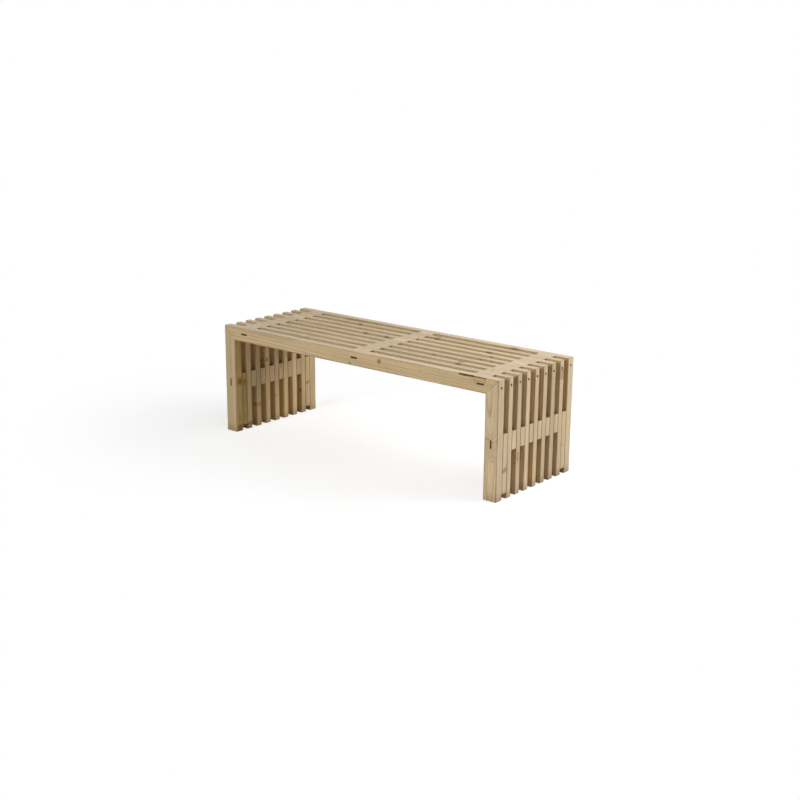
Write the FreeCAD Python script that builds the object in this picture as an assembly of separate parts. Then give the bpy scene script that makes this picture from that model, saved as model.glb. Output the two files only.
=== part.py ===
import FreeCAD, Part
import os
from FreeCAD import Vector

# Overall sizes of the bench, in millimetres
bench_length = 1380.0
bench_height = 448.0
frame_count = 9

# Board stock: every frame is one seat board and two leg boards of the same width
board_width = 57.0
inner_thickness = 27.0
outer_thickness = 36.0
board_edge_radius = 2.5

# Spacer blocks that hold neighbouring frames apart, cut from stock as wide as the boards
spacer_thickness = 27.0
spacer_length = 70.0
spacer_edge_chamfer = 1.5
seat_setback_left = 19.0
seat_setback_right = 3.0
seat_centre_shift = 27.0
leg_spacer_bottom = 176.0
filler_foot_gap = 23.0

# Wide crown staples, driven through a board and its spacer into the board behind
staple_crown = 27.0
staple_wire = 1.8
staple_wire_width = 2.2
staple_bite = 14.0
staple_point = 3.0
staple_sink = 1.0
staple_stagger = 8.0
staple_above_axis = 3.0

# How far each row of seat staples, driven by eye, lies off the middle of its spacers
staple_drift = {"left": 2.0, "centre": -9.0, "right": 15.0}

# Square cut nails, driven through a leg board into the mitred end of its seat board
nail_shank = 3.0
nail_length = 70.0
nail_head = 5.5
nail_head_thickness = 1.5
nail_point = 4.0
nail_sink = 1.0
nail_below_axis = 1.5

# Room that a cutting tool runs past the stock, so that no sliver is left on a face
tool_overrun = 5.0

# Places worked out from the sizes above
gap_count = frame_count - 1
thicknesses = [outer_thickness] + [inner_thickness] * (frame_count - 2) + [outer_thickness]
bench_depth = sum(thicknesses) + gap_count * spacer_thickness
half_length = bench_length / 2
leg_axis = half_length - board_width / 2
leg_inner_face = half_length - board_width
seat_axis = bench_height - board_width / 2
seat_underside = bench_height - board_width
leg_spacer_centre = leg_spacer_bottom + spacer_length / 2
leg_spacer_top = leg_spacer_bottom + spacer_length

# Middle of each row of seat spacers: the end rows are set from the inner faces of the legs
seat_rows = {
    "left": -leg_inner_face + seat_setback_left + spacer_length / 2,
    "centre": seat_centre_shift,
    "right": leg_inner_face - seat_setback_right - spacer_length / 2,
}

along = Vector(1, 0, 0)
upright = Vector(0, 0, 1)


def board_front(index):
    """Y of the front face of a board, counted from the front of the bench."""
    return -bench_depth / 2 + sum(thicknesses[:index]) + index * spacer_thickness


def gap_front(index):
    """Y of the front of the gap that lies behind a board."""
    return board_front(index) + thicknesses[index]


def stock(corner, size, grain):
    """Square-edged stock, and its four edges along the grain."""
    block = Part.makeBox(size.x, size.y, size.z, corner)
    edges = [edge for edge in block.Edges if abs(edge.tangentAt(edge.FirstParameter).dot(grain)) > 0.5]
    return block, edges


def board(corner, size, grain):
    """Planed board with rounded edges."""
    block, edges = stock(corner, size, grain)
    return block.makeFillet(board_edge_radius, edges)


def spacer(corner, size, grain):
    """Spacer block with the arrises taken off."""
    block, edges = stock(corner, size, grain)
    return block.makeChamfer(spacer_edge_chamfer, edges)


def mitre_waste(side, of_seat_board):
    """What the 45 degree cut across the corner of a frame takes off one of its two boards."""
    reach = board_width + tool_overrun
    inner = Vector(side * (half_length - reach), -bench_depth, bench_height - reach)
    outer = Vector(side * (half_length + tool_overrun), -bench_depth, bench_height + tool_overrun)
    if of_seat_board:
        square_corner = Vector(outer.x, -bench_depth, inner.z)
    else:
        square_corner = Vector(inner.x, -bench_depth, outer.z)
    outline = Part.makePolygon([inner, outer, square_corner, inner])
    return Part.Face(outline).extrude(Vector(0, 2 * bench_depth, 0))


def seat_board(index):
    """Horizontal board of one frame, mitred at both ends."""
    corner = Vector(-half_length, board_front(index), seat_underside)
    blank = board(corner, Vector(bench_length, thicknesses[index], board_width), along)
    return blank.cut([mitre_waste(-1, True), mitre_waste(1, True)])


def leg_board(index, side):
    """Upright board of one frame, mitred at the top."""
    corner = Vector(side * leg_axis - board_width / 2, board_front(index), 0)
    blank = board(corner, Vector(board_width, thicknesses[index], bench_height), upright)
    return blank.cut(mitre_waste(side, False))


def seat_spacer(index, centre_x):
    """Block between two seat boards, flush with their upper and lower edges."""
    corner = Vector(centre_x - spacer_length / 2, gap_front(index), seat_underside)
    return spacer(corner, Vector(spacer_length, spacer_thickness, board_width), along)


def leg_spacer(index, side, bottom):
    """Block between two leg boards, from the given height up to the common top of the leg spacers."""
    corner = Vector(side * leg_axis - board_width / 2, gap_front(index), bottom)
    return spacer(corner, Vector(board_width, spacer_thickness, leg_spacer_top - bottom), upright)


def staple_blank(leg_length, crown_top):
    """Staple with its crown along X and its legs along Y, each leg ending in a bevelled point."""
    outer = staple_crown / 2
    inner = outer - staple_wire
    shoulder = leg_length - staple_point
    outline = [
        (-outer, crown_top), (outer, crown_top), (outer, shoulder), (inner, leg_length),
        (inner, staple_wire), (-inner, staple_wire), (-inner, leg_length), (-outer, shoulder),
        (-outer, crown_top),
    ]
    face = Part.Face(Part.makePolygon([Vector(x, y, -staple_wire_width / 2) for x, y in outline]))
    return face.extrude(Vector(0, 0, staple_wire_width))


def square_outline(x, side):
    """Square of the given side, centred on the X axis."""
    half = side / 2
    corners = [(-half, -half), (half, -half), (half, half), (-half, half), (-half, -half)]
    return Part.makePolygon([Vector(x, y, z) for y, z in corners])


def nail_blank(head_top):
    """Nail along X: a square head that starts at head_top, a square shank and a pyramid point."""
    shoulder = nail_length - nail_point
    head = Part.Face(square_outline(head_top, nail_head)).extrude(along * (nail_head_thickness - head_top))
    shank_outline = square_outline(nail_head_thickness, nail_shank)
    shank = Part.Face(shank_outline).extrude(along * (shoulder - nail_head_thickness))
    point = Part.makeLoft([square_outline(shoulder, nail_shank), Part.Vertex(nail_length, 0, 0)], True)
    return head.fuse([shank, point]).removeSplitter()


def placed(blank, start, direction):
    """Fastener moved to its start, with its own X axis turned to the given direction."""
    blank.Placement = FreeCAD.Placement(start, FreeCAD.Rotation(along, direction))
    return blank


def staple(index, on_front_face, grain):
    """Staple driven in from the front face of a board, and its slot, which is open over the sunk crown."""
    start = on_front_face + Vector(0, staple_sink, 0)
    leg_length = thicknesses[index] + spacer_thickness + staple_bite - staple_sink
    return [placed(staple_blank(leg_length, crown_top), start, grain) for crown_top in (0.0, -staple_sink)]


def corner_nail(index, side):
    """Nail driven in from the outer face of a leg board, and its hole, which is open over the sunk head."""
    middle = board_front(index) + thicknesses[index] / 2
    start = Vector(side * (half_length - nail_sink), middle, seat_axis - nail_below_axis)
    return [placed(nail_blank(head_top), start, along * -side) for head_top in (0.0, -nail_sink)]


def carve(piece, slots):
    """Piece with the slots of the fasteners that reach it cut out."""
    reaching = [slot for slot in slots if slot.BoundBox.intersect(piece.BoundBox)]
    return piece.cut(reaching) if reaching else piece


# Fasteners, each with its slot: every other staple is moved sideways, clear of the points before it
nails = [corner_nail(index, side) for index in range(frame_count) for side in (-1, 1)]
seat_staples = []
leg_staples = []
for index in range(gap_count):
    sideways = staple_stagger * (index % 2)
    for row, centre_x in seat_rows.items():
        height = seat_axis + staple_above_axis + sideways
        on_board = Vector(centre_x + staple_drift[row], board_front(index), height)
        seat_staples.append(staple(index, on_board, along))
    for side in (-1, 1):
        on_board = Vector(side * (leg_axis + sideways), board_front(index), leg_spacer_centre)
        leg_staples.append(staple(index, on_board, upright))
slots = [slot for fastener, slot in nails + seat_staples + leg_staples]

# Wooden pieces, as the list of solids of each node
wood = {}
for index in range(frame_count):
    number = index + 1
    wood[f"seat_board_{number}"] = [seat_board(index)]
    wood[f"leg_board_left_{number}"] = [leg_board(index, -1)]
    wood[f"leg_board_right_{number}"] = [leg_board(index, 1)]
for index in range(gap_count):
    for row, centre_x in seat_rows.items():
        wood[f"seat_spacer_{row}_{index + 1}"] = [seat_spacer(index, centre_x)]
for side_name, side in (("left", -1), ("right", 1)):
    wood[f"leg_filler_{side_name}_front"] = [leg_spacer(0, side, filler_foot_gap)]
    wood[f"leg_filler_{side_name}_back"] = [leg_spacer(gap_count - 1, side, filler_foot_gap)]
    inner_gaps = range(1, gap_count - 1)
    wood[f"leg_spacers_{side_name}"] = [leg_spacer(index, side, leg_spacer_bottom) for index in inner_gaps]

nodes = {name: [carve(piece, slots) for piece in pieces] for name, pieces in wood.items()}
driven = {"corner_nails": nails, "seat_staples": seat_staples, "leg_staples": leg_staples}
for name, fasteners in driven.items():
    nodes[name] = [fastener for fastener, slot in fasteners]

os.makedirs("parts", exist_ok=True)
for name, solids in nodes.items():
    Part.makeCompound(solids).exportStep(f"parts/{name}.step")
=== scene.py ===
import math
import random
from dataclasses import dataclass, field

import bpy
from mathutils import Matrix, Vector, noise


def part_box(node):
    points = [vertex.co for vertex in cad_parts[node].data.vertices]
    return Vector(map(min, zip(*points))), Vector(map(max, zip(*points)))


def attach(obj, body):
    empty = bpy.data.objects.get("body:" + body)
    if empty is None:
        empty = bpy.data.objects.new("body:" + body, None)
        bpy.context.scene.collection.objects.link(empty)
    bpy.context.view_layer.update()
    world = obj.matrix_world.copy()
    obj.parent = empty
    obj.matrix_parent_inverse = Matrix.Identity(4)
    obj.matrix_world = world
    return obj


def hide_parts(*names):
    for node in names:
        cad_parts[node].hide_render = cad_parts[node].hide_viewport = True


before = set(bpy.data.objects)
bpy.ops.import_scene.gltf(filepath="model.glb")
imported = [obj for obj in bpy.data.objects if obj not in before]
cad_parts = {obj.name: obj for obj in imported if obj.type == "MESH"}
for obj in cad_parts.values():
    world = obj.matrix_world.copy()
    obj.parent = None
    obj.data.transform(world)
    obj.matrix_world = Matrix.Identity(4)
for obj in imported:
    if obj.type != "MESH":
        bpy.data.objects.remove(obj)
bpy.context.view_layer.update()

MM = 0.001
BODY = "root"
FRAME_COUNT = 9
GAP_COUNT = FRAME_COUNT - 1
ROWS = ("left", "centre", "right")
ENDS = {"left": -1, "right": 1}

# Camera of the photograph: angles in degrees, lengths in metres, lens and sensor in millimetres
CAMERA_AZIMUTH = 39.67
CAMERA_ELEVATION = 15.48
CAMERA_ROLL = 0.40
CAMERA_DISTANCE = 5.173
CAMERA_TARGET = Vector((0.0479, 0.0011, 0.2124))
CAMERA_LENS = 59.14
SENSOR_WIDTH = 36.0

# Light: place and size in metres and power in watts of each soft box, the even surround, and the floor
SOFT_BOXES = {
    "key": (Vector((2.4, 1.75, 2.2)), 1.8, 60.0),
    "overhead": (Vector((1.2, -0.3, 2.6)), 2.2, 28.0),
    "front": (Vector((-0.6, -6.7, 2.8)), 2.4, 260.0),
    "back": (Vector((0.4, 1.9, 1.6)), 1.0, 9.5),
    "right": (Vector((4.5, 1.2, 1.0)), 1.6, 31.0),
    "left end": (Vector((-3.5, 1.5, 0.6)), 1.0, 32.0),
}
SURROUND_STRENGTH = 0.03
FLOOR_SIZE = 60.0
FLOOR_GLOW = 0.70
FLOOR_SHADE = (0.42, 0.42, 0.42, 1)
FLOOR_BOUNCE = (0.8, 0.8, 0.8, 1)
WHITE = (1, 1, 1, 1)
SHADOW_REACH = Vector((1.05, 0.75))
SHADOW_FADE = (0.85, 1.75)

# Timber: the grid of its surface, its arrises and cut ends, and how far and how often a planed face wanders
BOARD_ARRIS = 2.5 * MM
SPACER_ARRIS = 1.6 * MM
ARC_STEPS = 4
LINE_SPACING = 8 * MM
STATION_SPACING = 8 * MM
SAME_PLACE = 0.02 * MM
END_EASE = 0.8 * MM
MITRE_SETBACK = 0.25 * MM
MITRE_BLEND = 6 * MM
FACE_WANDER = 0.22 * MM
WANDER_ALONG = 7
WANDER_ACROSS = 32
ARRIS_RATE = 14
ARRIS_ROW = 7.3
ARRIS_SPREAD = 0.3
KNOCK_RATE = 4
KNOCK_LEVEL = 0.45
KNOCK_SIZE = 0.9
WOOD_SHARP_EDGE = math.radians(40)

# Knots, where a branch is a cone that grows from the pith, then the reach of the weather's bleaching and of
# painted light down a side, below which the side is painted in shade, and the saw marks
KNOTS_PER_PIECE = 4
FAR_AWAY = 99.0
LEAST_CONE = 80 * MM
LEAST_BRANCH = 0.3 * MM
SEAT_KNOT_SHARE = 0.5
LIGHT_AND_BLEACH_REACH = 9 * MM
SLOT_LIGHT_AND_BLEACH_REACH = 5.5 * MM
OUTER_LIGHT_AND_BLEACH_REACH = 2 * MM
JOINT_DIRT = 0.6
SAW_TOOTH = 2.6 * MM
BOARD_SAW_MARKS = 0.06
SPACER_SAW_MARKS = 0.3
END_SAW_TOOTH = 1.3 * MM
SAW_DRIFT = 30.0
SAW_SLANT = (0.92, 0.38)
RAY_SCALE = 160.0

# Waney edge: its grid, how rough it is, how soon it is full at each end, and where it gets thin
WANE_STEPS = 40
WANE_LINES = (0.8, 0.95, 1.1, 1.25, 1.5)
WANE_ROUGHNESS = 0.35
WANE_RATE = 90
WANE_ROW = 3.1
WANE_EASE = (0.10, 0.05)
WANE_THINNING = 0.45
WANE_THIN_FROM = 0.5
WANE_THIN_OVER = 0.12

# Drying cracks: half the width, how blunt the ends are, and how dark the inside is
CHECK_HALF_WIDTH = 0.35 * MM
CHECK_TAPER = 0.6
CHECK_DIRT = 0.8

# Sunk fasteners: sizes of wire and heads, and how the wood round them is pressed in
STAPLE_CROWN = 27.0 * MM
STAPLE_WIRE = 1.8 * MM
STAPLE_WIDTH = 2.2 * MM
STAPLE_BITE = 14.0 * MM
STAPLE_STAGGER = 8.0 * MM
STAPLE_ABOVE_AXIS = 3.0 * MM
STAPLE_DRIFT = {"left": 2.0 * MM, "centre": -9.0 * MM, "right": 15.0 * MM}
STAPLE_BEND = 1.6 * MM
STAPLE_POINT = 3 * MM
STAPLE_POINT_SHARE = 0.25
STAPLE_ROUND = 0.5 * MM
CROWN_BOW = 0.12 * MM
CROWN_PEAK = 0.15 * MM
NAIL_HEAD = 5.5 * MM
NAIL_SHANK = 3.0 * MM
NAIL_LENGTH = 70.0 * MM
NAIL_ROUND = 0.3
NAIL_BELOW_AXIS = 1.5 * MM
FASTENER_SINK = 1.0 * MM
RECESS_DEPTH = 1.7 * MM
STAPLE_CLEARANCE = 0.5 * MM
NAIL_CLEARANCE = 0.35 * MM
RECESS_LIP = 0.3 * MM
STAPLE_CRUSH = 3.6 * MM
NAIL_CRUSH = 2.0 * MM
CRUSH_DEPTH = 0.3 * MM
STAPLE_SLOT = (STAPLE_CROWN / 2 + STAPLE_CLEARANCE, STAPLE_WIDTH / 2 + STAPLE_CLEARANCE, STAPLE_CRUSH)
NAIL_HOLE = (NAIL_HEAD / 2 + NAIL_CLEARANCE, NAIL_HEAD / 2 + NAIL_CLEARANCE, NAIL_CRUSH)
STEEL_SHARP_EDGE = math.radians(50)

# Sides of a piece, in order round its section, with the direction that each one faces (depth, face)
LOW_FACE, BACK, HIGH_FACE, FRONT = range(4)
FACING = [Vector((0, -1)), Vector((1, 0)), Vector((0, 1)), Vector((-1, 0))]

# Axes of a piece: along the grain, through the depth of the bench, across the face seen from the front
SEAT_AXES = (0, 1, 2)
LEG_AXES = (2, 1, 0)


def turned(place, axes):
    """Place turned from the bench's axes to those of a piece, or back: either order undoes itself."""
    return tuple(place[axis] for axis in axes)


@dataclass
class Recess:
    """Sunk fastener on one side of a piece, with the wood pressed in round it."""
    side: int
    along: float
    across: float
    half_along: float
    half_across: float
    reach: float

    def marks(self, centre, half):
        reaches = (half, half + RECESS_LIP, half + self.reach)
        return [centre + sign * reach for reach in reaches for sign in (-1, 1)]

    def stations(self):
        return self.marks(self.along, self.half_along)

    def lines(self):
        return self.marks(self.across, self.half_across)

    def distance(self, along, across):
        return max(abs(along - self.along) - self.half_along, abs(across - self.across) - self.half_across)

    def sink(self, along, across):
        outside = self.distance(along, across)
        if outside < RECESS_LIP / 2:
            return RECESS_DEPTH
        return CRUSH_DEPTH * max(0.0, 1 - outside / self.reach)

    def stain(self, along, across):
        return max(0.0, min(1.0, 1 - self.distance(along, across) / self.reach))


@dataclass
class Check:
    """Drying crack along the grain, on one side of a piece."""
    side: int
    across: float
    start: float
    stop: float
    depth: float

    def stations(self):
        return [self.start, self.stop]

    def lines(self):
        return [self.across - CHECK_HALF_WIDTH, self.across, self.across + CHECK_HALF_WIDTH]

    def sink(self, along, across):
        if abs(across - self.across) > CHECK_HALF_WIDTH / 2 or not self.start < along < self.stop:
            return 0.0
        share = (along - self.start) / (self.stop - self.start)
        return self.depth * math.sin(math.pi * share) ** CHECK_TAPER

    def stain(self, along, across):
        return CHECK_DIRT if self.sink(along, across) > 0 else 0.0


@dataclass
class Wane:
    """Stretch of the upper front arris where the round of the log shows."""
    start: float
    stop: float
    on_top: float
    on_front: float

    def stations(self):
        length = self.stop - self.start
        return [self.start + length * step / WANE_STEPS for step in range(WANE_STEPS + 1)]

    def lines(self, top):
        return [top - share * self.on_front for share in WANE_LINES]

    def size(self, along):
        """Share of the full wane at a station: all of it over the first half, then less."""
        if not self.start < along < self.stop:
            return 0.0
        share = (along - self.start) / (self.stop - self.start)
        rough = 1 + WANE_ROUGHNESS * noise.noise(Vector((along * WANE_RATE, WANE_ROW, 0.0)))
        ends = min(1.0, share / WANE_EASE[0], (1 - share) / WANE_EASE[1])
        thinned = 1 - WANE_THINNING * min(1.0, max(0.0, (share - WANE_THIN_FROM) / WANE_THIN_OVER))
        return rough * thinned * ends ** 0.5


@dataclass
class Knot:
    """Branch in the wood: where it comes out, its size there, and its lean along the grain."""
    along: float
    depth: float
    face: float
    half_along: float
    half_across: float
    darkness: float
    lean: float


@dataclass
class Timber:
    """One length of timber, in metres: along the grain, through the depth, across the face."""
    low: tuple
    high: tuple
    axes: tuple
    arris: float
    mitres: tuple = (0, 0)
    features: list = field(default_factory=list)
    wanes: list = field(default_factory=list)
    knots: list = field(default_factory=list)
    pith: tuple = (0.0, 0.0)
    slope: tuple = (0.0, 0.0)
    density: float = 1.0
    offset: float = 0.0
    tone: float = 0.0
    warmth: float = 0.0
    open_sides: dict = field(default_factory=dict)
    light_and_bleach_reach: float = LIGHT_AND_BLEACH_REACH

    def edge(self, axis, way, inset=0.0):
        """Place of the side that faces the given way along an axis."""
        return self.high[axis] - inset if way > 0 else self.low[axis] + inset

    def exposure(self, depth, face, out):
        """How much of the weather and of painted light reaches a corner: all of it on an open side, little
        down in a gap, which is painted in shade.
        """
        most = 0.0
        for side, share in self.open_sides.items():
            way = FACING[side]
            below = way.x * (self.edge(1, way.x) - depth) + way.y * (self.edge(2, way.y) - face)
            most = max(most, share * max(way.dot(out), math.exp(-below / self.light_and_bleach_reach)))
        return most

    def trimmed(self, mitre, face):
        """How much shorter than its long side a mitred end is, at a place across the face."""
        return MITRE_SETBACK + (self.high[2] - face if mitre > 0 else face - self.low[2])

    def place_along(self, station, face):
        """Place along the grain of a station: true in the middle, drawn in to the cut at a mitred end."""
        reach = self.high[2] - self.low[2] + MITRE_BLEND
        for mitre, end, inward in zip(self.mitres, (self.low[0], self.high[0]), (1, -1)):
            within = reach - inward * (station - end)
            if mitre and within > 0:
                return station + inward * within * self.trimmed(mitre, face) / reach
        return station


def spread(low, high, spacing, extra=()):
    """Even places from low to high, with extra ones put in and the even ones near those left out."""
    count = max(1, math.ceil((high - low) / spacing))
    even = [low + (high - low) * step / count for step in range(count + 1)]
    extra = sorted(place for place in extra if low < place < high)
    extra = [place for place, before in zip(extra, [low] + extra) if place - before > SAME_PLACE]
    kept = [place for place in even if all(abs(place - other) > spacing / 4 for other in extra)]
    return sorted(kept + extra)


def section_lines(timber):
    """Lines along the grain on each side of a piece, as places across that side."""
    margin = 2 * timber.arris
    lines = {}
    for side, way in enumerate(FACING):
        across = 1 if way.y else 2
        extra = [line for feature in timber.features if feature.side == side for line in feature.lines()]
        if side == FRONT:
            extra += [line for wane in timber.wanes for line in wane.lines(timber.high[2])]
        lines[side] = spread(timber.low[across] + margin, timber.high[across] - margin, LINE_SPACING, extra)
    return lines


def section(timber, lines, radii, inset):
    """Points round a piece: (depth, face, way out, share of arris, side, place across that side)."""
    points = []
    for side, way in enumerate(FACING):
        for across in sorted(lines[side], reverse=side in (HIGH_FACE, FRONT)):
            depth = across if way.y else timber.edge(1, way.x, inset)
            face = timber.edge(2, way.y, inset) if way.y else across
            points.append((depth, face, way, 0.0, side, across))
        next_way = FACING[(side + 1) % len(FACING)]
        corner_way = way + next_way
        corner = Vector((timber.edge(1, corner_way.x, inset), timber.edge(2, corner_way.y, inset)))
        for step in range(ARC_STEPS + 1):
            turn = math.pi / 2 * step / ARC_STEPS
            out = way * math.cos(turn) + next_way * math.sin(turn)
            depth, face = corner + (out - corner_way) * radii[side]
            points.append((depth, face, out, 1.0, None, None))
    return points


def arris_radii(timber, along):
    """Radius of each arris at a station: never quite even, with a knock here and there."""
    radii = []
    for side in range(len(FACING)):
        where = Vector((along * ARRIS_RATE + timber.offset, side * ARRIS_ROW, 0.0))
        knock = max(0.0, noise.noise(where * KNOCK_RATE) - KNOCK_LEVEL)
        radii.append(timber.arris * (1 + ARRIS_SPREAD * noise.noise(where) + KNOCK_SIZE * knock))
    return radii


def wane_shift(timber, along, depth, face):
    """How far a point moves (depth, face) where the round of the log cuts the upper front arris."""
    for wane in timber.wanes:
        size = wane.size(along)
        if size > 0:
            down, inward = wane.on_front * size, wane.on_top * size
            share = (timber.high[2] - face) / down + (depth - timber.low[1]) / inward
            if share < 1:
                move = (1 - share) / 2
                return move * inward, -move * down
    return 0.0, 0.0


def skin(first, rings, count):
    """Faces between rings of corners, which start at the first corner and have the given count each."""
    for start in range(first, first + (rings - 1) * count, count):
        for step in range(count):
            following = (step + 1) % count
            yield start + step, start + following, start + count + following, start + count + step


def add_timber(geometry, timber):
    """Adds one piece of timber to lists of corners, faces and wood data."""
    low, high = timber.low[0], timber.high[0]
    extra = [place for feature in timber.features + timber.wanes for place in feature.stations()]
    places = spread(low + END_EASE, high - END_EASE, STATION_SPACING, extra)
    stations = [(low, END_EASE)] + [(place, 0.0) for place in places] + [(high, END_EASE)]
    lines = section_lines(timber)
    first = len(geometry.corners)
    for station, inset in stations:
        joint = inset > 0 and timber.mitres[int(station == high)] != 0
        ring = section(timber, lines, arris_radii(timber, station), inset)
        for depth, face, out, arris, side, across in ring:
            along = timber.place_along(station, face)
            where = Vector((
                along * WANDER_ALONG + timber.offset, depth * WANDER_ACROSS, face * WANDER_ACROSS,
            ))
            sink = FACE_WANDER * (0.5 + 0.5 * noise.noise(where))
            stain = JOINT_DIRT if joint and side in (FRONT, BACK) else 0.0
            for feature in timber.features:
                if side == feature.side:
                    sink += feature.sink(along, across)
                    stain = max(stain, feature.stain(along, across))
            depth -= out[0] * sink
            face -= out[1] * sink
            if inset:
                arris = 1.0
            # Weather bleaching and painted light on open sides, fading to painted shade down in the gaps
            sun = timber.exposure(depth, face, out)
            inward, upward = wane_shift(timber, along, depth, face)
            bark = 1.0 if inward > 0 else 0.0
            depth += inward
            face += upward
            geometry.add_corner(timber, along, depth, face, (arris, stain, bark, sun))
    count = len(ring)
    flip = timber.axes == SEAT_AXES
    for here, beside, over, ahead in skin(first, len(stations), count):
        geometry.add_face([here, ahead, over, beside], flip, 0)
    last = len(geometry.corners)
    geometry.add_face(list(range(first, first + count)), flip, 1)
    geometry.add_face(list(reversed(range(last - count, last))), flip, 1)


# What each corner of a piece says about its surface, apart from grain and knots
MARKS = ("arris", "stain", "bark", "sun", "tone", "warmth")


def make_mesh(name, corners, faces, materials, sharp_edge=math.pi):
    mesh = bpy.data.meshes.new(name)
    mesh.from_pydata(corners, [], faces)
    for material in materials:
        mesh.materials.append(material)
    mesh.shade_smooth()
    mesh.set_sharp_from_angle(angle=sharp_edge)
    return mesh


def put_in_scene(name, data):
    thing = bpy.data.objects.new(name, data)
    bpy.context.scene.collection.objects.link(thing)
    return thing


class Geometry:
    """Corners, faces and wood data of a mesh that is being built."""

    def __init__(self):
        self.corners, self.faces, self.slots = [], [], []
        self.grain = []
        self.marks = {label: [] for label in MARKS}
        self.knots = [[] for _ in range(KNOTS_PER_PIECE)]

    def add_corner(self, timber, along, depth, face, marks):
        middle = [(a + b) / 2 for a, b in zip(timber.low, timber.high)]
        run = along - middle[0]
        across = depth - middle[1] - timber.pith[0] + timber.slope[0] * run
        up = face - middle[2] - timber.pith[1] + timber.slope[1] * run
        self.corners.append(turned((along, depth, face), timber.axes))
        self.grain.append((along + timber.offset, across * timber.density, up * timber.density))
        for values, value in zip(self.marks.values(), (*marks, timber.tone, timber.warmth)):
            values.append(value)
        for index, values in enumerate(self.knots):
            knot = timber.knots[index] if index < len(timber.knots) else None
            values.append(knot_place(timber, knot, middle, along, depth, face))

    def add_face(self, corners, flip, slot):
        self.faces.append(corners[::-1] if flip else corners)
        self.slots.append(slot)

    def make_object(self, name, materials):
        mesh = make_mesh(name, self.corners, self.faces, materials, WOOD_SHARP_EDGE)
        mesh.polygons.foreach_set("material_index", self.slots)
        vectors = {"grain": self.grain}
        vectors.update({f"knot_{index}": values for index, values in enumerate(self.knots)})
        for label, values in vectors.items():
            data = mesh.attributes.new(label, "FLOAT_VECTOR", "POINT").data
            data.foreach_set("vector", [part for value in values for part in value])
        for label, values in self.marks.items():
            mesh.attributes.new(label, "FLOAT", "POINT").data.foreach_set("value", values)
        mesh.validate()
        return put_in_scene(name, mesh)


def knot_place(timber, knot, middle, along, depth, face):
    """Place of a corner across the cone of a branch, where 1 is its edge, and how dark the branch is."""
    if knot is None:
        return FAR_AWAY, FAR_AWAY, 0.0
    from_pith = Vector((
        knot.depth - middle[1] - timber.pith[0], knot.face - middle[2] - timber.pith[1],
    ))
    outward = from_pith.normalized()
    beside = Vector((depth - knot.depth, face - knot.face))
    run = beside.dot(outward)
    sideways = beside.y * outward.x - beside.x * outward.y
    flattened = (along - knot.along - knot.lean * run) * knot.half_across / knot.half_along
    half_width = max(LEAST_BRANCH, knot.half_across * (1 + run / max(from_pith.length, LEAST_CONE)))
    return flattened / half_width, sideways / half_width, knot.darkness


def srgb(red, green, blue):
    """Colour written as in a picture, 0 to 255, as the linear colour that a shader takes."""
    def linear(value):
        value /= 255
        return value / 12.92 if value <= 0.04045 else ((value + 0.055) / 1.055) ** 2.4
    return linear(red), linear(green), linear(blue), 1.0


class Output:
    """What a node gives out: numbers can be added, taken off, multiplied and smoothly stepped."""

    def __init__(self, graph, socket):
        self.graph = graph
        self.socket = socket

    def __add__(self, other):
        return self.graph.math("ADD", self, other)

    def __sub__(self, other):
        return self.graph.math("SUBTRACT", self, other)

    def __mul__(self, other):
        return self.graph.math("MULTIPLY", self, other)

    def smooth(self, start, stop, low=0.0, high=1.0):
        inputs = {"Value": self, "From Min": start, "From Max": stop, "To Min": low, "To Max": high}
        return self.graph.add("MapRange", inputs, interpolation_type="SMOOTHSTEP")


class Graph:
    """Node tree that is being built: each method adds to it and gives back an output."""

    def __init__(self, tree):
        self.tree = tree
        tree.nodes.clear()

    def add(self, kind, inputs=None, output=0, **settings):
        node = self.tree.nodes.new(f"ShaderNode{kind}")
        for name, value in settings.items():
            setattr(node, name, value)
        for name, value in (inputs or {}).items():
            if isinstance(value, Output):
                self.tree.links.new(value.socket, node.inputs[name])
            else:
                node.inputs[name].default_value = value
        return Output(self, node.outputs[output]) if node.outputs else None

    def attribute(self, name, output="Fac"):
        return self.add("Attribute", output=output, attribute_name=name)

    def math(self, operation, *values):
        return self.add("Math", dict(enumerate(values)), operation=operation)

    def vector(self, operation, *values):
        output = "Value" if operation == "LENGTH" else "Vector"
        return self.add("VectorMath", dict(enumerate(values)), output, operation=operation)

    def part(self, vector, axis):
        return self.add("SeparateXYZ", {"Vector": vector}, axis)

    def noise(self, place, scale, detail, roughness=0.5, output="Fac"):
        vector = self.vector("MULTIPLY", place, scale)
        inputs = {"Vector": vector, "Scale": 1.0, "Detail": detail, "Roughness": roughness}
        return self.add("TexNoise", inputs, output)

    def noise_line(self, value, detail):
        inputs = {"W": value, "Scale": 1.0, "Detail": detail}
        return self.add("TexNoise", inputs, "Fac", noise_dimensions="1D")

    def ramp(self, value, stops):
        output = self.add("ValToRGB", {"Fac": value}, "Color")
        elements = output.socket.node.color_ramp.elements
        while len(elements) < len(stops):
            elements.new(1.0)
        for element, (place, level) in zip(elements, stops):
            element.position = place
            element.color = (level, level, level, 1.0)
        return output

    def mix(self, share, first, second, blend="MIX"):
        return self.add("Mix", {0: share, 6: first, 7: second}, 2, data_type="RGBA", blend_type=blend)

    def graded(self, colour, value, stops):
        return self.mix(1.0, colour, self.ramp(value, stops), "MULTIPLY")

    def either(self, share, first, second):
        return self.add("MixShader", {0: share, 1: first, 2: second})


def new_material(name):
    material = bpy.data.materials.new(name)
    material.use_nodes = True
    return material, Graph(material.node_tree)


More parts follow.
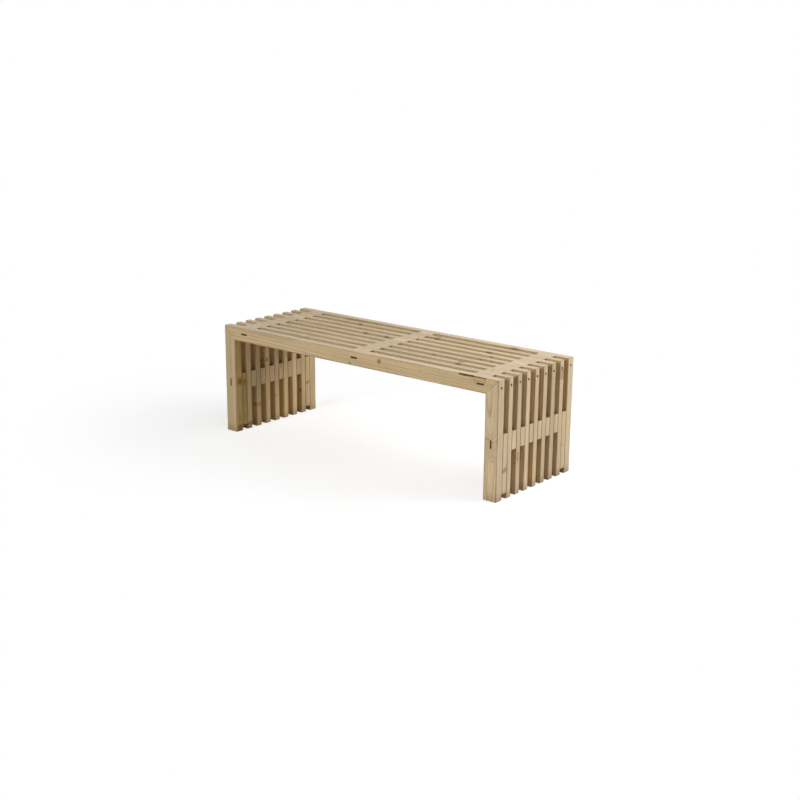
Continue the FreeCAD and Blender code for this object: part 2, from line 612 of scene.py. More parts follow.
# Colours of the wood, as they look in even light
EARLY_WOOD = srgb(208, 184, 144)
LATE_WOOD = srgb(164, 129, 83)
GREY_WOOD = srgb(182, 162, 128)
WARM_WOOD = srgb(200, 168, 120)
# Arris colours: rubbed pale with a painted highlight, and grimy with painted shade
PALE_ARRIS_AND_HIGHLIGHT = srgb(218, 201, 168)
GRIMY_ARRIS_AND_SHADE = srgb(138, 110, 74)
KNOT_HALO = srgb(180, 144, 96)
KNOT_WOOD = srgb(152, 114, 74)
KNOT_HEART = srgb(116, 82, 50)
KNOT_RIM = srgb(84, 58, 34)
IRON_STAIN = srgb(68, 44, 20)
BARK_LIGHT = srgb(132, 96, 54)
BARK_DARK = srgb(74, 48, 21)
END_EARLY = srgb(142, 114, 77)
END_LATE = srgb(94, 69, 41)
DUSKY_BROWN = srgb(120, 102, 76)

# Colours of the fasteners
STEEL = srgb(54, 37, 21)
BRIGHT_STEEL = srgb(74, 53, 32)
RUST = srgb(80, 48, 23)

# Surface: share of a plain surface's shine, depth of the relief in metres, and how strongly it shades
WOOD_GLOSS = 0.3
STEEL_GLOSS = 0.1
WOOD_RELIEF = 0.22 * MM
END_RELIEF = 0.25 * MM
STEEL_RELIEF = 0.06 * MM
BUMP_STRENGTH = 0.8

# Patterns: how often each one changes in a metre, along the grain and twice across it, then its detail and
# its roughness
FIBRE = (11, 820, 820), 3.0, 0.65
STREAK = (2.4, 150, 150), 3.0, 0.6
PATCH = (2.1, 13, 13), 2.0
BLOTCH = (5.0, 26, 26), 3.0, 0.6
CRUMBS = (90, 420, 420), 3.0, 0.6
RING_BEND = (1.6, 15, 15), 0.6
KNOT_WOBBLE = (110, 160, 160), 2.0
KNOT_GRIT = (300, 420, 420), 3.0
KNOT_DRIFT = (60, 80, 80), 2.0
PORE = (40, 1500, 1500), 2.0, 0.7
END_PATCH = (5, 60, 60), 3.0
GRIME = (420, 420, 420), 4.0, 0.6
SCRATCH = (900, 2600, 2600), 2.0

# Dark flecks, where all but the rare ones are left out, and the rings in a knot
FLECK_SCALE = (45, 130, 130)
FLECK_RARITY = 0.95
KNOT_RING_RATE = 30.0
KNOT_RING_DRIFT = 6.0

# Growth rings: how far they bend, and swell round a knot, in metres, how many there are in a metre, how
# unevenly they lie, and how dark the wood is over a year
RING_BEND_SIZE = (0, 0.010, 0.010)
SWELL_SIZE = 0.009
YEARS_IN_METRE = 255.0
UNEVEN_SCALE = 55.0
UNEVEN_YEARS = 3.0
YEAR_CURVE = [(0.0, 0.10), (0.40, 0.06), (0.74, 0.42), (0.90, 1.0), (0.985, 0.9), (1.0, 0.10)]

# Edge of a knot, from clear wood inwards, as a share of its size, and the height in metres of the darkening
# towards the floor
KNOT_EDGE = (1.06, 0.94)
DARK_FOOT_HEIGHT = 0.045

# How much bark there is round a branch, from one end of it to the other along the grain
KNOT_BARK = [(0.0, 0.6), (0.25, 0.08), (0.65, 0.12), (0.95, 0.9)]

# How full and how light the colour is, from sheltered wood in painted shade to bleached wood in painted
# light
SUN_SATURATION = [(0.0, 1.28), (0.22, 1.03), (0.3, 1.0), (0.6, 0.88), (1.0, 0.78)]
SUN_VALUE = [(0.0, 0.90), (0.22, 0.955), (0.3, 1.0), (1.0, 1.08)]


def branches(graph, place):
    """Nearest branch: the distance to it, where 1 is its edge, how dark it is, and the way along it."""
    stretch = graph.noise(place, *KNOT_WOBBLE) * 0.3 + 0.85
    nearest, darkness, way = FAR_AWAY, 0.0, 0.0
    for index in range(KNOTS_PER_PIECE):
        branch = graph.attribute(f"knot_{index}", "Vector")
        across = graph.vector("LENGTH", graph.vector("MULTIPLY", branch, (1, 1, 0)))
        distance = across * stretch
        closer = graph.math("LESS_THAN", distance, nearest)
        darkness = closer * (graph.part(branch, "Z") - darkness) + darkness
        way = closer * (graph.part(branch, "X") - way) + way
        nearest = graph.math("MINIMUM", nearest, distance)
    return nearest, darkness, way


def with_knots(graph, colour, place, nearest, darkness, way):
    """Colour with the branches in it: a halo of resin, rings round a heart, cracks, bark at the ends."""
    grit = graph.noise(place, *KNOT_GRIT)
    halo = nearest.smooth(2.4, 0.9) * (darkness * 0.4 + 0.15)
    colour = graph.mix(halo, colour, KNOT_HALO)
    rings = graph.math("SINE", grit * KNOT_RING_DRIFT + nearest * KNOT_RING_RATE)
    wood = graph.mix(rings * 0.25 + 0.3, KNOT_WOOD, KNOT_HEART)
    wood = graph.mix(nearest.smooth(0.25, 0.05, 0.0, 0.8), wood, KNOT_RIM)
    crack = graph.math("ABSOLUTE", grit - 0.5).smooth(0.03, 0.0) * nearest.smooth(0.8, 0.3, 0.0, 0.7)
    wood = graph.mix(crack, wood, KNOT_RIM)
    colour = graph.mix(nearest.smooth(1.04, 0.92) * darkness, colour, wood)
    rim = nearest.smooth(0.88, 0.98) * nearest.smooth(1.10, 1.0)
    rim *= graph.ramp(way * 0.5 + 0.5, KNOT_BARK)
    rim *= graph.noise(place, *KNOT_DRIFT).smooth(0.36, 0.58, 0.15, 0.9)
    rim *= darkness.smooth(0.0, 0.5, 0.45, 1.0)
    return graph.mix(rim, colour, KNOT_RIM)


def bleached_and_lit(graph, colour, sun):
    """Colour as the weather leaves it, with painted light and shade: full and darker in painted shade where
    the wood is sheltered, pale and lighter in painted light where it lies open.
    """
    saturation = graph.ramp(sun, SUN_SATURATION)
    value = graph.ramp(sun, SUN_VALUE)
    inputs = {"Hue": 0.5, "Saturation": saturation, "Value": value, "Fac": 1.0, "Color": colour}
    return graph.add("HueSaturation", inputs)


def growth_rings(graph, place, nearest):
    """Late wood of each year, 0 to 1: rings round the pith, uneven, and bent round the knots."""
    broad = graph.noise(place, *RING_BEND, output="Color")
    bend = graph.vector("MULTIPLY", graph.vector("SUBTRACT", broad, (0.5, 0.5, 0.5)), RING_BEND_SIZE)
    bent = graph.vector("MULTIPLY", graph.vector("ADD", place, bend), (0, 1, 1))
    swell = graph.math("POWER", nearest.smooth(2.4, 0.7), 2.0)
    radius = swell * SWELL_SIZE + graph.vector("LENGTH", bent)
    years = radius * YEARS_IN_METRE + graph.noise_line(radius * UNEVEN_SCALE, 1.0) * UNEVEN_YEARS
    year = graph.add("TexWhiteNoise", {"W": graph.math("FLOOR", years)}, "Value", noise_dimensions="1D")
    return graph.ramp(graph.math("FRACT", years), YEAR_CURVE) * (year * 0.55 + 0.45)


def own_tint(graph):
    """How much lighter or darker, and warmer or greyer, a piece is than its neighbours."""
    tone = graph.attribute("tone") * 0.13 + 1.0
    warmth = graph.attribute("warmth")
    red, blue = tone * (warmth * 0.02 + 1.0), tone * (warmth * -0.07 + 1.0)
    return graph.add("CombineColor", {0: red, 1: tone, 2: blue})


def pine(name, saw_marks):
    """Unfinished pine: rings, fibres, knots, weather with painted light and shade, rubbed arrises with
    painted highlights and shade, stained fastener holes and bark.
    """
    material, graph = new_material(name)
    place = graph.attribute("grain", "Vector")
    nearest, darkness, way = branches(graph, place)
    late = growth_rings(graph, place, nearest)
    patterns = (FIBRE, STREAK, PATCH, BLOTCH, CRUMBS)
    fibre, streak, patch, blotch, crumbs = (graph.noise(place, *pattern) for pattern in patterns)

    colour = graph.mix(late * 0.85, EARLY_WOOD, LATE_WOOD)
    colour = graph.mix(patch.smooth(0.42, 0.72, 0.0, 0.55), colour, GREY_WOOD)
    colour = graph.mix(blotch.smooth(0.48, 0.78, 0.0, 0.45), colour, WARM_WOOD)
    colour = graph.graded(colour, streak, [(0.25, 0.80), (0.5, 0.98), (0.75, 1.06)])
    colour = graph.graded(colour, fibre, [(0.28, 0.84), (0.5, 1.0), (0.72, 1.05)])
    colour = graph.mix(1.0, colour, own_tint(graph), "MULTIPLY")
    spots = {"Vector": graph.vector("MULTIPLY", place, FLECK_SCALE), "Scale": 1.0}
    chance = graph.part(graph.add("TexVoronoi", spots, "Color"), "X")
    fleck = graph.add("TexVoronoi", spots, "Distance").smooth(0.30, 0.12, 0.0, 0.55)
    fleck *= graph.math("GREATER_THAN", chance, FLECK_RARITY)
    colour = graph.mix(fleck, colour, KNOT_WOOD)
    colour = with_knots(graph, colour, place, nearest, darkness, way)
    # Painted light on open sides and painted shade on sheltered ones, along with the weather's bleaching
    sun = graph.attribute("sun")
    colour = bleached_and_lit(graph, colour, sun)

    # Rubbed arrises: pale with a painted highlight on open sides, grimy with painted shade on sheltered
    # ones
    arris_rub_and_light = graph.attribute("arris").smooth(0.5, 1.0) * blotch.smooth(0.32, 0.62, 0.25, 0.75)
    arris_rub_and_light_colour = graph.mix(sun.smooth(0.65, 0.95), GRIMY_ARRIS_AND_SHADE, PALE_ARRIS_AND_HIGHLIGHT)
    colour = graph.mix(arris_rub_and_light, colour, arris_rub_and_light_colour)
    stain = graph.attribute("stain").smooth(0.1, 0.7) * streak.smooth(0.3, 0.6, 0.75, 1.0)
    colour = graph.mix(stain, colour, IRON_STAIN)
    bark = (blotch * 0.5 + graph.attribute("bark")).smooth(0.62, 0.85)
    rind = graph.mix(crumbs.smooth(0.42, 0.68), BARK_DARK, BARK_LIGHT)
    colour = graph.mix(bark, colour, rind)
    # Darker towards the floor at the foot of each piece, in patches
    above_floor = graph.part(graph.add("TexCoord", output="Object"), "Z")
    damp = above_floor.smooth(DARK_FOOT_HEIGHT, 0.0) * patch
    colour = graph.mix(damp * 0.8, colour, DUSKY_BROWN)

    knot = nearest.smooth(*KNOT_EDGE) * darkness
    rough = fibre * 0.20 + 0.62 - late * 0.08 - knot * 0.10 + bark * 0.25
    tooth = graph.math("SINE", graph.part(place, "X") * (math.tau / SAW_TOOTH) + patch * SAW_DRIFT)
    sawn = tooth * blotch.smooth(0.42, 0.66) * saw_marks
    height = fibre * 0.75 + late * 0.35 + streak * 0.5 + sawn + knot * 0.4 + bark * crumbs * 5.0
    finish(graph, colour, graph.math("MINIMUM", rough, 1.0), height, WOOD_RELIEF, WOOD_GLOSS)
    return material


def sawn_end(name):
    """Sawn end of a piece: rings cut across, open pores, rays and the marks of the saw."""
    material, graph = new_material(name)
    place = graph.attribute("grain", "Vector")
    nearest, darkness, _ = branches(graph, place)
    late = growth_rings(graph, place, nearest)
    pore = graph.noise(place, *PORE)
    across, up = graph.part(place, "Y"), graph.part(place, "Z")
    rays = graph.noise_line(graph.math("ARCTAN2", up, across) * RAY_SCALE, 2.0)
    slanted = across * SAW_SLANT[0] + up * SAW_SLANT[1]
    kerf = graph.math("SINE", slanted * (math.tau / END_SAW_TOOTH))

    colour = graph.mix(late * 0.9, END_EARLY, END_LATE)
    colour = graph.mix(graph.noise(place, *END_PATCH).smooth(0.4, 0.7, 0.0, 0.6), colour, DUSKY_BROWN)
    colour = graph.graded(colour, pore, [(0.3, 0.72), (0.55, 1.0), (0.75, 1.05)])
    colour = graph.graded(colour, rays, [(0.3, 0.90), (0.7, 1.06)])
    colour = graph.mix(nearest.smooth(*KNOT_EDGE) * darkness, colour, KNOT_HEART)
    height = late * 0.6 + pore * 1.2 + kerf * 0.22
    finish(graph, colour, pore * 0.2 + 0.68, height, END_RELIEF, WOOD_GLOSS)
    return material


def old_steel(name):
    """Dull steel wire, dark from the mill and browned by the damp in the wood."""
    material, graph = new_material(name)
    place = graph.add("TexCoord", output="Object")
    grime = graph.noise(place, *GRIME)
    scratch = graph.noise(place, *SCRATCH)
    rust = grime.smooth(0.45, 0.65)
    colour = graph.mix(rust, graph.mix(scratch, STEEL, BRIGHT_STEEL), RUST)
    rough = rust * 0.25 + scratch * 0.2 + 0.5
    metal = rust.smooth(0.0, 1.0, 0.2, 0.0)
    finish(graph, colour, rough, grime + scratch, STEEL_RELIEF, STEEL_GLOSS, metal)
    return material


def finish(graph, colour, rough, height, relief, gloss, metal=0.0):
    """Dry, dull surface with the given colour, roughness and relief, where the relief is in metres."""
    bump = graph.add("Bump", {"Height": height, "Distance": relief, "Strength": BUMP_STRENGTH})
    shader = graph.add("BsdfPrincipled", {
        "Base Color": colour, "Roughness": rough, "Metallic": metal, "Specular IOR Level": gloss,
        "Normal": bump,
    })
    graph.add("OutputMaterial", {"Surface": shader})


def inspected_rays(graph):
    """1 for the rays that see the background itself, 0 for those that only carry its light."""
    seen = 0.0
    for kind in ("Camera", "Glossy", "Transmission"):
        seen = graph.math("MAXIMUM", seen, graph.add("LightPath", output=f"Is {kind} Ray"))
    return seen


def make_floor():
    """Floor that keeps the soft shadow of the bench, is white further away and is clear from below."""
    material, graph = new_material("studio_floor")
    shade = graph.add("BsdfDiffuse", {"Color": FLOOR_SHADE})
    glow = graph.add("Emission", {"Color": WHITE, "Strength": FLOOR_GLOW})
    near = graph.add("AddShader", {0: shade, 1: glow})
    white = graph.add("Emission", {"Color": WHITE, "Strength": 1.0})
    place = graph.add("TexCoord", output="Object")
    shrunk = graph.vector("MULTIPLY", place, (1 / SHADOW_REACH.x, 1 / SHADOW_REACH.y, 0))
    seen = graph.either(graph.vector("LENGTH", shrunk).smooth(*SHADOW_FADE), near, white)
    lit = graph.add("BsdfDiffuse", {"Color": FLOOR_BOUNCE})
    above = graph.either(inspected_rays(graph), lit, seen)
    below = graph.add("BsdfTransparent", {"Color": WHITE})
    surface = graph.either(graph.add("NewGeometry", output="Backfacing"), above, below)
    graph.add("OutputMaterial", {"Surface": surface})
    half = FLOOR_SIZE / 2
    corners = [(-half, -half, 0), (half, -half, 0), (half, half, 0), (-half, half, 0)]
    floor = put_in_scene("studio_floor", make_mesh("studio_floor", corners, [(0, 1, 2, 3)], [material]))


def make_world():
    """Even surround that lights the bench softly and is seen as white."""
    world = bpy.data.worlds.new("studio")
    world.use_nodes = True
    graph = Graph(world.node_tree)
    light = graph.add("Background", {"Color": WHITE, "Strength": SURROUND_STRENGTH})
    white = graph.add("Background", {"Color": WHITE, "Strength": 1.0})
    graph.add("OutputWorld", {"Surface": graph.either(inspected_rays(graph), light, white)})
    bpy.context.scene.world = world


def make_lamp(name, place, size, power):
    """Square soft box that faces the bench."""
    light = bpy.data.lights.new(name, "AREA")
    light.shape = "SQUARE"
    light.size = size
    light.energy = power
    lamp = put_in_scene(name, light)
    lamp.location = place
    lamp.rotation_euler = (CAMERA_TARGET - place).to_track_quat("-Z", "Y").to_euler()


def make_camera():
    """Camera at the photograph's viewing angle."""
    data = bpy.data.cameras.new("photo_camera")
    data.sensor_width = SENSOR_WIDTH
    data.lens = CAMERA_LENS
    camera = put_in_scene("photo_camera", data)
    place = Matrix.Translation(CAMERA_TARGET)
    for angle, axis in ((CAMERA_AZIMUTH, "Z"), (90 - CAMERA_ELEVATION, "X"), (CAMERA_ROLL, "Z")):
        place = place @ Matrix.Rotation(math.radians(angle), 4, axis)
    camera.matrix_world = place @ Matrix.Translation((0, 0, CAMERA_DISTANCE))
    bpy.context.scene.camera = camera


# Knots and other marks that the photograph shows, in metres in the bench's own frame: the point where
# the branch comes out, half its length and width there in millimetres, and how dark it is
PHOTO_KNOTS = {
    "seat_board_1": [
        (0.144, -0.2385, 0.428, 7.0, 5.5, 0.85), (0.606, -0.2385, 0.4345, 26.0, 9.0, 0.12),
        (-0.003, -0.2385, 0.398, 4.5, 3.5, 0.8),
    ],
    "seat_board_3": [(0.424, -0.1215, 0.440, 12.0, 6.0, 0.8)],
    "seat_board_6": [(-0.056, 0.0405, 0.442, 9.0, 6.0, 0.85), (-0.166, 0.0405, 0.442, 8.0, 5.0, 0.8)],
    "seat_board_7": [(0.405, 0.0945, 0.441, 14.0, 6.0, 0.8)],
    "seat_board_8": [(-0.290, 0.1485, 0.441, 9.0, 6.0, 0.8), (0.114, 0.1485, 0.440, 12.0, 7.0, 0.8)],
    "seat_board_9": [(0.445, 0.2045, 0.447, 18.0, 5.0, 0.8)],
    "leg_board_right_1": [(0.648, -0.2385, 0.196, 33.0, 34.0, 0.12)],
    "leg_board_right_3": [(0.690, -0.110, 0.142, 16.0, 9.0, 0.4)],
    "leg_board_right_8": [(0.690, 0.161, 0.396, 20.0, 13.0, 0.5)],
    "leg_board_left_1": [
        (-0.633, -0.215, 0.213, 12.0, 10.0, 0.7), (-0.633, -0.218, 0.010, 18.0, 12.0, 0.9),
    ],
    "leg_filler_left_front": [(-0.633, -0.189, 0.205, 11.0, 8.0, 0.5)],
    "leg_board_left_3": [(-0.633, -0.108, 0.094, 7.0, 9.0, 0.5)],
    "leg_board_left_4": [(-0.633, -0.058, 0.276, 8.0, 7.0, 0.7)],
}
# Tones of some pieces, lighter or darker: partly the wood's own tone and partly painted light and shade
PHOTO_TONES = {
    "seat_board": {"1": 0.65, "2": 0.0, "4": 0.2, "5": -0.4, "7": 0.2, "8": -0.6},
    "leg_board_left": {"1": -0.25, "3": -0.4, "4": 0.2, "5": 0.0, "7": 1.2, "8": -0.7, "9": -0.4},
    "leg_board_right": {"1": 0.6, "2": 1.2, "3": -0.2, "4": 1.0, "7": -0.9},
    "leg_filler_left": {"front": -1.3, "back": -0.1},
    "leg_filler_right": {"front": 0.5},
}
PHOTO_PITHS = {"leg_board_right_1": (70 * MM, -5 * MM), "leg_board_left_1": (5 * MM, -70 * MM)}
# Pieces whose inner side gets neither bleaching nor painted light, so it is painted in shade
PHOTO_SHELTERED = ("leg_board_left_1", "leg_filler_left_front")
RAIL_WANE = Wane(start=0.512, stop=0.636, on_top=3.0 * MM, on_front=6.5 * MM)

# How far the weather has bleached the sides that lie open to it, and how much painted light they get, where
# less is painted shade
UPPER_SIDE_SUN = 1.0
END_SIDE_SUN = 0.6
FACE_SIDE_SUN = 0.36
RAIL_SIDE_SUN = 0.23
INNER_SIDE_SUN = 0.27

# Chance in a piece: how far its pith is in millimetres, the slope of its grain, how close its rings are,
# where it lies in the patterns, and its tone
PITH_DISTANCE = (18, 85)
GRAIN_SLOPE = (-0.02, 0.02)
RING_DENSITY = (0.8, 1.3)
PATTERN_LENGTH = 50
TONE_SPREAD = 0.45

# Chance in its knots: their lean, how far they keep from each other and from the ends in metres, half
# their width in millimetres, how much longer than wide they are, and how dark
PHOTO_KNOT_LEAN = (-0.15, 0.15)
KNOT_SPACING = 0.45
KNOT_COUNT_SPREAD = (-0.4, 0.6)
KNOT_MARGIN = 0.02
KNOT_HALF_WIDTH = (2.0, 6.0)
KNOT_LENGTH_SHARE = (1.0, 1.5)
KNOT_DARKNESS = (0.45, 0.9)
KNOT_LEAN = (0.1, 0.4)

# Chance in its drying cracks: lengths and depth in millimetres, and how far they keep from edges and ends
EDGE_CHECK_CHANCE = 0.4
EDGE_CHECK_LENGTH = (50, 150)
EDGE_CHECK_MARGIN = 80 * MM
END_CHECK_CHANCE = 0.5
END_CHECK_LENGTH = (20, 60)
CHECK_DEPTH = (0.8, 1.6)
CHECK_MARGIN = 8 * MM


def timber_from(name, low, high, axes, arris, mitres=(0, 0)):
    """Timber that fills a box of the frame, with its own log, knots and tone drawn from its name."""
    draw = random.Random(name)
    timber = Timber(turned(low, axes), turned(high, axes), axes, arris, mitres)
    turn = draw.uniform(0, math.tau)
    from_pith = draw.uniform(*PITH_DISTANCE) * MM
    timber.pith = PHOTO_PITHS.get(name, (from_pith * math.cos(turn), from_pith * math.sin(turn)))
    timber.slope = (draw.uniform(*GRAIN_SLOPE), draw.uniform(*GRAIN_SLOPE))
    timber.density = draw.uniform(*RING_DENSITY)
    timber.offset = draw.uniform(0, PATTERN_LENGTH)
    tone = max(-1.0, min(1.0, draw.gauss(0.0, TONE_SPREAD)))
    kind, _, which = name.rpartition("_")
    timber.tone = PHOTO_TONES.get(kind, {}).get(which, tone)
    timber.warmth = draw.uniform(-1, 1)
    # Sides open to the weather and to painted light, with painted shade on the rest
    if axes == SEAT_AXES:
        timber.open_sides = {HIGH_FACE: UPPER_SIDE_SUN}
        timber.light_and_bleach_reach = SLOT_LIGHT_AND_BLEACH_REACH
    else:
        outer, inner = (HIGH_FACE, LOW_FACE) if low[0] > 0 else (LOW_FACE, HIGH_FACE)
        timber.open_sides = {outer: END_SIDE_SUN}
        if name not in PHOTO_SHELTERED:
            timber.open_sides[inner] = INNER_SIDE_SUN
    for x, y, z, half_along, half_across, darkness in PHOTO_KNOTS.get(name, []):
        spot = turned((x, y, z), axes)
        lean = draw.uniform(*PHOTO_KNOT_LEAN)
        timber.knots.append(Knot(*spot, half_along * MM, half_across * MM, darkness, lean))
    length = timber.high[0] - timber.low[0]
    more = round(length / KNOT_SPACING + draw.uniform(*KNOT_COUNT_SPREAD))
    wanted = min(KNOTS_PER_PIECE, len(timber.knots) + more)
    while len(timber.knots) < wanted:
        timber.knots.append(random_knot(timber, draw))
    return timber


def random_knot(timber, draw):
    """Knot somewhere on the piece, more often on its broad sides."""
    side = draw.choice((FRONT, BACK, FRONT, BACK, LOW_FACE, HIGH_FACE))
    along = draw.uniform(timber.low[0] + KNOT_MARGIN, timber.high[0] - KNOT_MARGIN)
    depth = draw.uniform(timber.low[1], timber.high[1])
    face = draw.uniform(timber.low[2], timber.high[2])
    out_depth, out_face = FACING[side]
    if out_depth:
        depth = timber.edge(1, out_depth)
    else:
        face = timber.edge(2, out_face)
    half = draw.uniform(*KNOT_HALF_WIDTH) * MM
    stretched = half * draw.uniform(*KNOT_LENGTH_SHARE)
    darkness = draw.uniform(*KNOT_DARKNESS) * (SEAT_KNOT_SHARE if timber.axes == SEAT_AXES else 1.0)
    return Knot(along, depth, face, stretched, half, darkness, draw.uniform(*KNOT_LEAN))


def add_drying_cracks(timber, draw):
    """Cracks that open as the wood dries: some along an edge, and some up from a square end."""
    def crack(start, stop):
        side = draw.choice((LOW_FACE, HIGH_FACE))
        across = draw.uniform(timber.low[1] + CHECK_MARGIN, timber.high[1] - CHECK_MARGIN)
        timber.features.append(Check(side, across, start, stop, draw.uniform(*CHECK_DEPTH) * MM))

    low, high = timber.low[0], timber.high[0]
    if draw.random() < EDGE_CHECK_CHANCE:
        length = draw.uniform(*EDGE_CHECK_LENGTH) * MM
        start = draw.uniform(low + EDGE_CHECK_MARGIN, high - EDGE_CHECK_MARGIN - length)
        crack(start, start + length)
    if timber.mitres[0] == 0 and draw.random() < END_CHECK_CHANCE:
        length = draw.uniform(*END_CHECK_LENGTH) * MM
        crack(low - length, low + length)


def settle(piece, node):
    """Puts a finished piece in the place of its node."""
    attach(piece, BODY)
    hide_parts(node)


def make_wood(node, timbers, materials):
    geometry = Geometry()
    for timber in timbers:
        add_timber(geometry, timber)
    settle(geometry.make_object(f"{node}_wood", materials), node)


def add_recess(timber, spot, side, size):
    """Slot over the crown of a staple, or hole over the head of a nail, in one side of a piece."""
    along, depth, face = turned(spot, timber.axes)
    timber.features.append(Recess(side, along, face if side == FRONT else depth, *size))


def middle_of(node):
    low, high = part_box(node)
    return (low + high) / 2


def staple_spots(gap):
    """Where the crowns of the staples into one gap lie, on the seat and on the legs."""
    sideways = STAPLE_STAGGER * (gap % 2)
    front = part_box(f"seat_board_{gap + 1}")[0].y
    height = middle_of("seat_board_1").z + STAPLE_ABOVE_AXIS + sideways
    seat = []
    for row in ROWS:
        block = middle_of(f"seat_spacer_{row}_{gap + 1}")
        seat.append(Vector((block.x + STAPLE_DRIFT[row], front, height)))
    legs = []
    for side, end in ENDS.items():
        block = middle_of(f"leg_spacers_{side}")
        legs.append(Vector((block.x + end * sideways, front, block.z)))
    return seat, legs


def nail_spot(number, side):
    """Where the head of a corner nail lies on the outer side of a leg board."""
    low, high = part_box(f"leg_board_{side}_{number}")
    axis = middle_of("seat_board_1").z
    return Vector((high.x if ENDS[side] > 0 else low.x, (low.y + high.y) / 2, axis - NAIL_BELOW_AXIS))


def make_frames(materials):
    """The nine upside-down frames: a seat board and two leg boards each, mitred at the corners."""
    seat_crowns, leg_crowns = staple_spots(0)
    for number in range(1, FRAME_COUNT + 1):
        node = f"seat_board_{number}"
        timber = timber_from(node, *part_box(node), SEAT_AXES, BOARD_ARRIS, (1, 1))
        if number == 1:
            timber.wanes.append(RAIL_WANE)
            for spot in seat_crowns:
                add_recess(timber, spot, FRONT, STAPLE_SLOT)
        finish_board(node, number, timber, materials)
        for (side, end), crown in zip(ENDS.items(), leg_crowns):
            node = f"leg_board_{side}_{number}"
            timber = timber_from(node, *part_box(node), LEG_AXES, BOARD_ARRIS, (0, end))
            add_recess(timber, nail_spot(number, side), HIGH_FACE if end > 0 else LOW_FACE, NAIL_HOLE)
            if number == 1:
                add_recess(timber, crown, FRONT, STAPLE_SLOT)
            finish_board(node, number, timber, materials)


def finish_board(node, number, timber, materials):
    """Makes a board of a frame: the outer frames have an open broad side, the inner ones have cracks."""
    if number in (1, FRAME_COUNT):
        # The open broad side of an outer board gets weather and painted light
        broad_sun = RAIL_SIDE_SUN if timber.axes == SEAT_AXES else FACE_SIDE_SUN
        timber.open_sides[FRONT if number == 1 else BACK] = broad_sun
        timber.light_and_bleach_reach = OUTER_LIGHT_AND_BLEACH_REACH
    else:
        add_drying_cracks(timber, random.Random(f"{node} cracks"))
    make_wood(node, [timber], materials)


def make_spacers(materials):
    """The blocks that hold the frames apart."""
    def make_block(node, axes):
        make_wood(node, [timber_from(node, *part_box(node), axes, SPACER_ARRIS)], materials)

    for gap in range(GAP_COUNT):
        for row in ROWS:
            make_block(f"seat_spacer_{row}_{gap + 1}", SEAT_AXES)
    for side in ENDS:
        for where in ("front", "back"):
            make_block(f"leg_filler_{side}_{where}", LEG_AXES)
        node = f"leg_spacers_{side}"
        low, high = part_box(node)
        blocks = []
        for gap in range(1, GAP_COUNT - 1):
            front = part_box(f"leg_board_{side}_{gap + 1}")[1].y
            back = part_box(f"leg_board_{side}_{gap + 2}")[0].y
            corners = (low.x, front, low.z), (high.x, back, high.z)
            blocks.append(timber_from(f"{node}_{gap}", *corners, LEG_AXES, SPACER_ARRIS))
        make_wood(node, blocks, materials)


def rounded_profile(width, height, radius, steps=2):
    """Outline of a bar with rounded corners, anticlockwise."""
    outline = []
    for quarter, (sign_x, sign_y) in enumerate(((1, 1), (-1, 1), (-1, -1), (1, -1))):
        centre = (sign_x * (width / 2 - radius), sign_y * (height / 2 - radius))
        for step in range(steps + 1):
            turn = math.pi / 2 * (quarter + step / steps)
            outline.append((centre[0] + radius * math.cos(turn), centre[1] + radius * math.sin(turn)))
    return outline


def sweep(corners, faces, rings):
    """Skin over rings of corners, closed at both ends."""
    first = len(corners)
    count = len(rings[0])
    for ring in rings:
        corners.extend(ring)
    last = len(corners)
    faces.extend(skin(first, len(rings), count))
    faces.append(list(reversed(range(first, first + count))))
    faces.append(list(range(last - count, last)))


def add_staple(corners, faces, spot, crown_axis, leg_length):
    """Wide crown staple: flattened wire, bent at two shoulders, with bevelled points."""
    other_axis = Vector((0, 1, 0)).cross(crown_axis)
    half = (STAPLE_CROWN - STAPLE_WIRE) / 2
    bend = STAPLE_BEND
    shoulder = leg_length - STAPLE_POINT
    path = [(-half, leg_length, STAPLE_POINT_SHARE), (-half, shoulder, 1.0)]
    path += [(-half, share * (shoulder - bend) + bend, 1.0) for share in (0.5, 0.0)]
    for turn in (math.pi / 8, math.pi / 4, 3 * math.pi / 8, math.pi / 2):
        path.append((-half + bend * (1 - math.cos(turn)), bend * (1 - math.sin(turn)), 1.0))
    path += [(-half * share, -CROWN_BOW * (1 - share ** 2), 1.0) for share in (0.6, 0.3)]
    path.append((0.0, -CROWN_PEAK, 1.0))
    path += [(-x, y, size) for x, y, size in reversed(path[:-1])]
    profile = rounded_profile(STAPLE_WIRE, STAPLE_WIDTH, STAPLE_ROUND)
    start = spot + Vector((0, FASTENER_SINK + STAPLE_WIRE / 2, 0))
    rings = []
    for index, (x, y, size) in enumerate(path):
        before = path[max(0, index - 1)]
        after = path[min(len(path) - 1, index + 1)]
        run = Vector((after[0] - before[0], after[1] - before[1])).normalized()
        out = Vector((run.y, -run.x))
        ring = []
        for thick, wide in profile:
            step = out * thick * size
            ring.append(start + crown_axis * (x + step.x) + Vector((0, y + step.y, 0)) + other_axis * wide)
        rings.append(ring)
    sweep(corners, faces, rings)


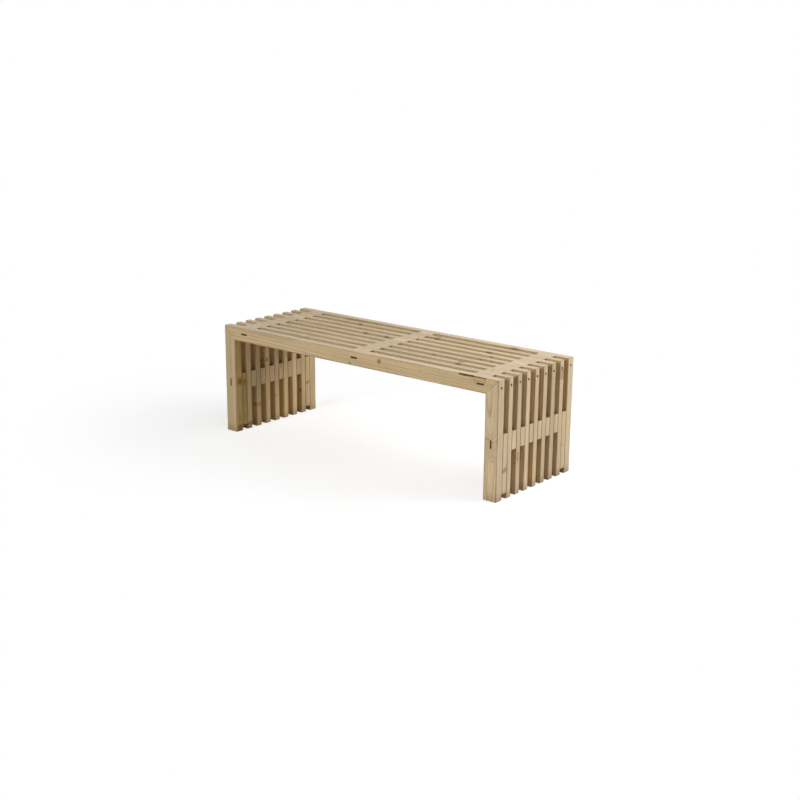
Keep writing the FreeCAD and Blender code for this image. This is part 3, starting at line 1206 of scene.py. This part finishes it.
def add_nail(corners, faces, spot, inward):
    """Square cut nail with a rounded head, as sections: how far down each one is, and half its width."""
    side = Vector((0, 1, 0))
    up = inward.cross(side)
    head = NAIL_HEAD / 2
    shank = NAIL_SHANK / 2
    sections = [
        (0.0, 0.35 * head), (0.04 * MM, 0.62 * head), (0.16 * MM, 0.86 * head), (0.42 * MM, head),
        (1.2 * MM, head), (1.5 * MM, 0.9 * head), (1.55 * MM, shank), (20 * MM, shank),
        (45 * MM, 0.95 * shank), (NAIL_LENGTH - 4 * MM, 0.9 * shank),
        (NAIL_LENGTH - 0.2 * MM, 0.15 * shank),
    ]
    start = spot + inward * FASTENER_SINK
    rings = []
    for run, half in sections:
        outline = rounded_profile(2 * half, 2 * half, NAIL_ROUND * half)
        rings.append([start + inward * run + side * a + up * b for a, b in outline])
    sweep(corners, faces, rings)


def make_fasteners(steel):
    """Staples through boards and spacers, and nails through the mitred corners."""
    pieces = {"seat_staples": ([], []), "leg_staples": ([], []), "corner_nails": ([], [])}
    for gap in range(GAP_COUNT):
        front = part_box(f"seat_board_{gap + 1}")[0].y
        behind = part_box(f"seat_board_{gap + 2}")[0].y
        leg_length = behind - front + STAPLE_BITE - FASTENER_SINK - STAPLE_WIRE / 2
        seat, legs = staple_spots(gap)
        for spot in seat:
            add_staple(*pieces["seat_staples"], spot, Vector((1, 0, 0)), leg_length)
        for spot in legs:
            add_staple(*pieces["leg_staples"], spot, Vector((0, 0, 1)), leg_length)
    for number in range(1, FRAME_COUNT + 1):
        for side, end in ENDS.items():
            add_nail(*pieces["corner_nails"], nail_spot(number, side), Vector((-end, 0, 0)))
    for node, (corners, faces) in pieces.items():
        name = f"{node}_steel"
        mesh = make_mesh(name, corners, faces, [steel], STEEL_SHARP_EDGE)
        settle(put_in_scene(name, mesh), node)


end_grain = sawn_end("pine_end_grain")
make_frames([pine("pine_board", BOARD_SAW_MARKS), end_grain])
make_spacers([pine("pine_spacer", SPACER_SAW_MARKS), end_grain])
make_fasteners(old_steel("old_steel"))

make_floor()
make_world()
for lamp_name, soft_box in SOFT_BOXES.items():
    make_lamp(lamp_name, *soft_box)
make_camera()
bpy.context.scene.view_settings.view_transform = "Standard"
